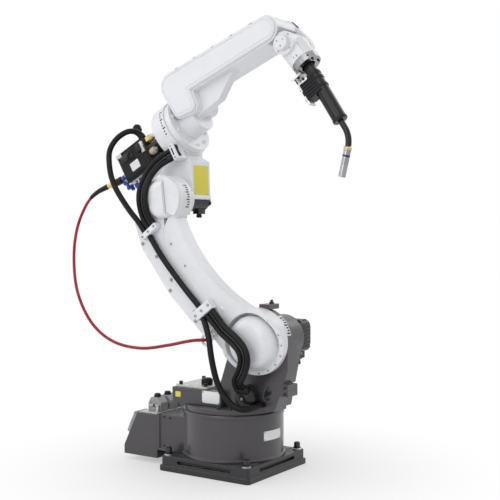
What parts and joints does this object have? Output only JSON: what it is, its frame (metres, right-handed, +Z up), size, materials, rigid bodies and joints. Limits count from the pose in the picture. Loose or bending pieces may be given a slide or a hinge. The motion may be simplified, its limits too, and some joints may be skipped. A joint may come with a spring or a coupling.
{
  "type": "six-axis welding robot arm",
  "caption": "White jointed robot arm on a grey drum base, with a wire feeder on its elbow, cables along the arm and a curved welding torch at its wrist.",
  "frame": {"origin": "on the waist axis at floor level, in the middle of the floor plate", "axes": "+Z up along the waist axis, +X to the front of the arm, +Y to its left"},
  "size_m": [1.237, 0.435, 1.6499],
  "materials": {
    "grey_paint": "satin",
    "white_paint": "gloss",
    "pale_plate": "satin",
    "grey_plastic": "matte",
    "black_plastic": "matte",
    "black_rubber": "satin",
    "red_rubber": "gloss",
    "blue_plastic": "matte",
    "brass": "satin",
    "bright_steel": "brushed"
  },
  "bodies": {
    "base": {"base_plate": "grey_paint", "base_drum": "grey_paint", "connector_box": "grey_paint", "connector_lid": "pale_plate", "connector_blocks": "grey_plastic", "rear_plug": "grey_plastic"},
    "column": {"turntable": "grey_paint", "shoulder_casting": "grey_paint", "motor_box": "grey_paint", "motor_box_lid": "pale_plate", "motor_box_knobs": "black_plastic", "shoulder_motor": "black_plastic", "conduit_gland": "black_plastic"},
    "lower_arm": {"arm_casting": "white_paint", "shoulder_dome": "white_paint", "elbow_dome": "white_paint", "cable_sheet": "white_paint", "lower_clamp": "white_paint", "upper_clamp": "white_paint", "guide_ring": "white_paint", "arm_hose": "black_rubber", "lower_conduits": "black_rubber", "lower_feed_cable": "black_rubber"},
    "elbow": {"elbow_casting": "white_paint", "elbow_motor": "black_plastic", "hose_bracket": "white_paint", "feeder_bracket": "bright_steel", "feeder_box": "black_plastic", "feeder_outlet": "bright_steel", "feeder_fittings": "blue_plastic", "feeder_inlet": "brass", "upper_conduits": "black_rubber", "upper_feed_cable": "black_rubber", "wire_liner": "red_rubber"},
    "forearm": {"forearm_casting": "white_paint", "side_cover": "white_paint", "far_cover": "white_paint", "wrist_nose": "white_paint"},
    "wrist": {"wrist_housing": "white_paint", "wrist_cap": "white_paint"},
    "tool": {"tool_flange": "bright_steel", "torch_bracket": "bright_steel", "torch_clamp": "black_plastic", "torch_handle": "black_plastic", "torch_neck": "black_plastic", "torch_nozzle": "bright_steel", "contact_tip": "brass"}
  },
  "joints": [
    {"name": "waist", "type": "hinge", "parent": "base", "child": "column", "pos_m": [0, 0, 0.224], "axis": [0, 0, 1], "range_deg": [-170, 170]},
    {"name": "shoulder", "type": "hinge", "parent": "column", "child": "lower_arm", "pos_m": [0.18, -0.1, 0.493], "axis": [0, 1, 0], "range_deg": [-48, 118], "deforming": ["lower_conduits", "lower_feed_cable"]},
    {"name": "elbow", "type": "hinge", "parent": "lower_arm", "child": "elbow", "pos_m": [-0.20215, -0.1, 1.00013], "axis": [0, -1, 0], "range_deg": [-45, 95], "deforming": ["upper_conduits", "upper_feed_cable", "wire_liner"]},
    {"name": "forearm_roll", "type": "hinge", "parent": "elbow", "child": "forearm", "pos_m": [-0.22909, 0, 1.27562], "axis": [0.8746, 0, 0.4848], "range_deg": [-190, 190]},
    {"name": "wrist_bend", "type": "hinge", "parent": "forearm", "child": "wrist", "pos_m": [0.25545, 0, 1.5442], "axis": [0, 1, 0], "range_deg": [-90, 50]},
    {"name": "tool_roll", "type": "hinge", "parent": "wrist", "child": "tool", "pos_m": [0.3223, 0, 1.46453], "axis": [0.6428, 0, -0.766], "range_deg": [-220, 220]}
  ]
}
